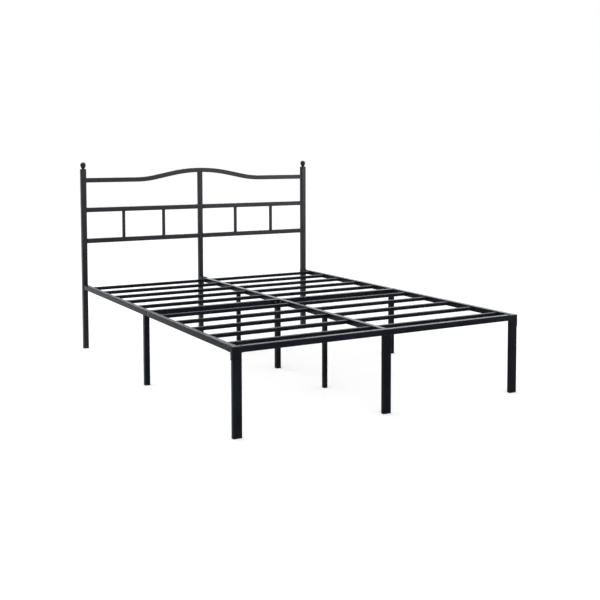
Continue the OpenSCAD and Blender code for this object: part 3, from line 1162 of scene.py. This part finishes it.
@dataclass
class Studio:
    """Floor, light and camera.

    Attributes:
        eye: The camera's place.
        heading: Its heading, in degrees from +Y towards +X.
        pitch: Its tilt above the horizon, in degrees.
        roll: Its turn about its own axis, in degrees.
        lens: Focal length, in millimetres.
        sensor: Width of the sensor, in millimetres.
        shift: Vertical shift, as a share of the view's width.
        sight: How far the camera sees.
        sky_level: Brightness of the even light from all round.
        room_gloss: Brightness of the room that reflections see.
        light_rise: Rise per unit of run of the direction in which the sweep and window lie.
        sweep_gloss: Brightness of the sweep beyond the head, in reflections.
        sweep_heading: Its heading, in degrees from +Y towards +X.
        sweep_edge: Cosine of the angle from that heading to the sweep's edge.
        front_gloss: Brightness of the window beyond the foot, in reflections.
        front_heading: Its heading, in degrees from +Y towards +X.
        front_edge: Cosine of the angle from that heading to the window's edge.
        front_fade: Sines of the elevations at which the window begins to fade and ends.
        overhead_gloss: Brightness of the soft light overhead, in reflections.
        overhead_edge: Sine of the elevation at which that light begins.
        gloss_tint: Colour of what reflections see.
        floor: The floor's finish.
        floor_reach: Distance from the middle of the floor to its sides.
        lamps: A broad one behind the head, on its left, and a weaker one at the left side.
    """

    eye: Triple = (-2.2254, -4.1649, 1.0934)
    heading: float = 29.54
    pitch: float = -3.55
    roll: float = -0.12
    lens: float = 56.53
    sensor: float = 36.0
    shift: float = -0.15
    sight: float = 100.0
    sky_level: float = 1.0
    room_gloss: float = 0.6
    light_rise: float = 0.1
    sweep_gloss: float = 2.7
    sweep_heading: float = 35.0
    sweep_edge: float = 0.93
    front_gloss: float = 17.0
    front_heading: float = 132.0
    front_edge: float = 0.75
    front_fade: Span = (0.0375, 0.15)
    overhead_gloss: float = 7.5
    overhead_edge: float = 0.5
    gloss_tint: Colour = (0.95, 0.97, 1.0)
    floor: FloorPaper = FloorPaper("floor_paper", (0.88, 0.88, 0.88), 0.9, 0.0, lift=0.22)
    floor_reach: float = 14.0
    lamps: tuple[Lamp, ...] = (
        Lamp("key", (-1.5, 3.4, 3.0), 2.4, 40.0),
        Lamp("fill", (-3.4, 0.5, 2.2), 2.0, 18.0),
    )

    def build(self) -> None:
        """Sets up the camera, the light and the floor."""
        self.make_camera()
        self.make_world()
        self.make_floor()
        for lamp in self.lamps:
            lamp.build()
        bpy.context.scene.view_settings.view_transform = "Standard"

    def make_camera(self) -> None:
        """Adds the camera and makes it the scene's own."""
        yaw, pitch, roll = (math.radians(a) for a in (self.heading, self.pitch, self.roll))
        forward = Vector(
            (math.sin(yaw) * math.cos(pitch), math.cos(yaw) * math.cos(pitch), math.sin(pitch))
        )
        right = Vector((math.cos(yaw), -math.sin(yaw), 0))
        up = right.cross(forward)
        right, up = (
            right * math.cos(roll) + up * math.sin(roll),
            up * math.cos(roll) - right * math.sin(roll),
        )
        data = bpy.data.cameras.new("camera")
        data.sensor_width = self.sensor
        data.lens = self.lens
        data.shift_y = self.shift
        data.clip_end = self.sight
        camera = add_object("camera", data)
        turn = Matrix((right, up, -forward)).transposed().to_4x4()
        camera.matrix_world = Matrix.Translation(self.eye) @ turn
        bpy.context.scene.camera = camera

    def make_world(self) -> None:
        """Lights the scene evenly, shows white behind it, and gives reflections a room to see."""
        world = bpy.data.worlds.new("studio")
        world.use_nodes = True
        graph = Graph(world.node_tree)
        soft = self.background(graph, WHITE, self.sky_level)
        room = self.background(graph, self.gloss_tint, self.seen_in_gloss(graph))
        white = self.background(graph, WHITE, 1.0)
        is_glossy = graph.seen_by(Ray.GLOSSY)
        glossy = graph.node("ShaderNodeMixShader", inputs={0: is_glossy, 1: soft, 2: room})
        is_seen = (graph.seen_by(Ray.CAMERA) + graph.seen_by(Ray.TRANSMISSION)).clamped()
        shown = graph.node("ShaderNodeMixShader", inputs={0: is_seen, 1: glossy, 2: white})
        graph.node("ShaderNodeOutputWorld", inputs={"Surface": shown})
        bpy.context.scene.world = world

    def background(self, graph: Graph, colour: Colour, strength: Term) -> Socket:
        """A background shader of one colour, in which a strength of 1 is as bright as written."""
        inputs = {"Color": (*colour, 1), "Strength": strength}
        return graph.node("ShaderNodeBackground", inputs=inputs)

    def seen_in_gloss(self, graph: Graph) -> Socket:
        """How bright the room is in reflections, by direction.

        It is dim, with a bright sweep beyond the head, a brighter low window beyond the foot, on
        the right, and a soft light overhead.

        Args:
            graph: The world's tree.

        Returns:
            The brightness.
        """
        sweep = self.towards(graph, self.sweep_heading).ramp(self.sweep_edge, 1.0)
        upwards = graph.height_of(graph.node("ShaderNodeTexCoord", output="Generated"))
        below_top = 1 - upwards.ramp(*self.front_fade)
        front = self.towards(graph, self.front_heading).ramp(self.front_edge, 1.0) * below_top
        overhead = upwards.ramp(self.overhead_edge, 1.0)
        return (
            self.room_gloss
            + sweep * (self.sweep_gloss - self.room_gloss)
            + front * (self.front_gloss - self.room_gloss)
            + overhead * (self.overhead_gloss - self.room_gloss)
        )

    def towards(self, graph: Graph, heading: float) -> Socket:
        """How closely a direction in the world points along a heading, a little above level.

        Args:
            graph: The world's tree.
            heading: The heading, in degrees from +Y towards +X.

        Returns:
            The cosine of the angle between the two, within a hundredth.
        """
        turn = math.radians(heading)
        direction = graph.node("ShaderNodeTexCoord", output="Generated")
        aim = (math.sin(turn), math.cos(turn), self.light_rise)
        settings = {"operation": "DOT_PRODUCT"}
        return graph.node("ShaderNodeVectorMath", settings, {0: direction, 1: aim}, output="Value")

    def make_floor(self) -> None:
        """Lays a plain pale floor that keeps the bed's soft shadow."""
        bm = bmesh.new()
        bmesh.ops.create_grid(bm, x_segments=1, y_segments=1, size=self.floor_reach)
        floor = add_object("floor", close_mesh("floor", bm, self.floor))
        floor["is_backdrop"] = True


# ---------------------------------------------------------------------------------------------
# The whole bed
# ---------------------------------------------------------------------------------------------


def main() -> None:
    """Loads the frame, builds each sub-assembly in order and reports its pieces."""
    logging.basicConfig(level=logging.INFO, format="%(name)s: %(message)s")
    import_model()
    Studio().build()
    finials = [Finial(side) for side in SIDES]
    assemblies: list[SubAssembly] = [Headboard(), *finials, Deck(), Hardware()]
    for assembly in assemblies:
        for piece in assembly.build():
            LOG.info("%s: %s", piece.name, piece.data.materials[0].name)


if __name__ == "__main__":
    main()
